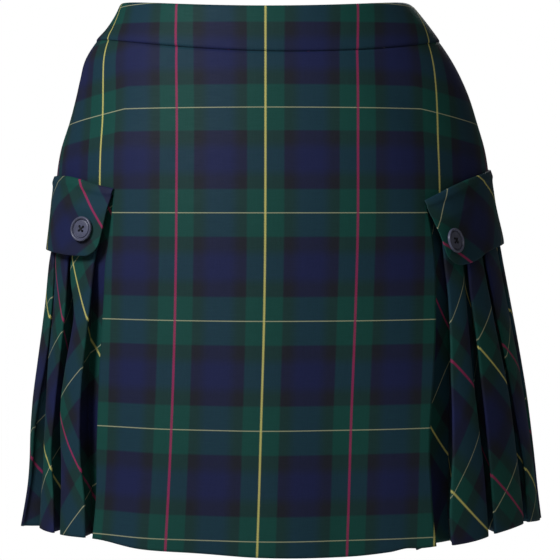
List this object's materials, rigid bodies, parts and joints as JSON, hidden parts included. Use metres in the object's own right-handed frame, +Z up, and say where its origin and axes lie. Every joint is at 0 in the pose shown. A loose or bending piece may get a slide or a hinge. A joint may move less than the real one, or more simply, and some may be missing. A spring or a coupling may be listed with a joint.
{
  "type": "skort",
  "caption": "Flared tartan skort with a smooth front panel, bias-cut knife-pleated side insets under buttoned flaps, and plain inner shorts.",
  "frame": {"origin": "centre of the waist opening, level with its top edge at the sides, where the garment is held", "axes": "+Z up through the waist opening, -Y to the front, +X to the wearer's left"},
  "size_m": [0.4434, 0.3063, 0.4469],
  "materials": {
    "tartan": "smooth twill with a slight sheen",
    "shorts_cloth": "plain matt weave",
    "tape": "woven tape",
    "button": "semi-gloss horn look",
    "zip_metal": "painted satin"
  },
  "bodies": {
    "skort": {"waistband_front": "tartan", "waistband_back_left": "tartan", "waistband_back_right": "tartan", "front": "tartan", "back_left": "tartan", "back_right": "tartan", "left_pleats": "tartan", "right_pleats": "tartan", "left_flap": "tartan", "right_flap": "tartan", "left_button": "button", "right_button": "button", "shorts_left": "shorts_cloth", "shorts_right": "shorts_cloth", "zip_tape": "tape", "zip_slider": "zip_metal"},
    "pull_tab": {"zip_pull": "zip_metal"}
  },
  "joints": [
    {"name": "pull_tab_hinge", "type": "hinge", "parent": "skort", "child": "pull_tab", "pos_m": [0.00131, 0.09712, -0.01184], "axis": [1, 0, 0], "range_deg": [0, 150]}
  ]
}
